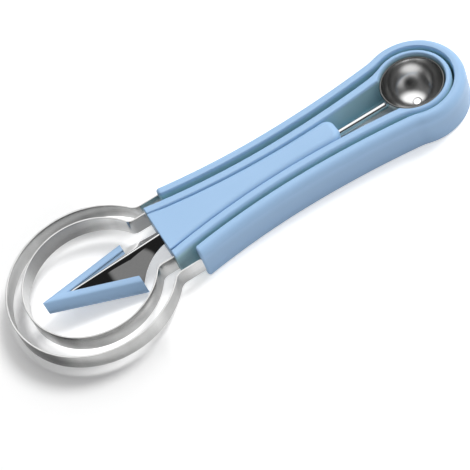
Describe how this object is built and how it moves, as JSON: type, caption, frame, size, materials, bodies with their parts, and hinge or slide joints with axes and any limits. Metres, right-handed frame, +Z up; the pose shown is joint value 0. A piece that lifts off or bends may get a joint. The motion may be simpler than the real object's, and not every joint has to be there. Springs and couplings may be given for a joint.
{
  "type": "watermelon scoop",
  "caption": "Nested hand tool set: round melon loops on open frame handles around a central handle with a roof-shaped carving blade and a small baller bowl.",
  "frame": {"origin": "on the table, under the middle of the whole length of the nested set", "axes": "+X from the loops to the round head of the handles, +Y across, +Z up from the table"},
  "size_m": [0.238, 0.082, 0.0178],
  "materials": {
    "handle_plastic": "smooth satin moulding",
    "band_steel": "brushed along the band",
    "polished_steel": "polished stainless steel"
  },
  "bodies": {
    "outer_tool": {"outer_handle": "handle_plastic", "outer_loop": "band_steel"},
    "inner_tool": {"inner_handle": "handle_plastic", "inner_loop": "band_steel"},
    "knife_tool": {"knife_handle": "handle_plastic", "v_blade": "polished_steel", "baller_rod": "polished_steel", "baller_bowl": "polished_steel"},
    "guard": {"blade_guard": "handle_plastic"}
  },
  "joints": [
    {"name": "inner_lift", "type": "slide", "parent": "outer_tool", "child": "inner_tool", "axis": [0, 0, 1], "range_m": [0, 0.04]},
    {"name": "knife_lift", "type": "slide", "parent": "inner_tool", "child": "knife_tool", "axis": [0, 0, 1], "range_m": [0, 0.04]},
    {"name": "guard_pull", "type": "slide", "parent": "knife_tool", "child": "guard", "axis": [-0.9985, 0, -0.0541], "range_m": [0, 0.0062]}
  ]
}
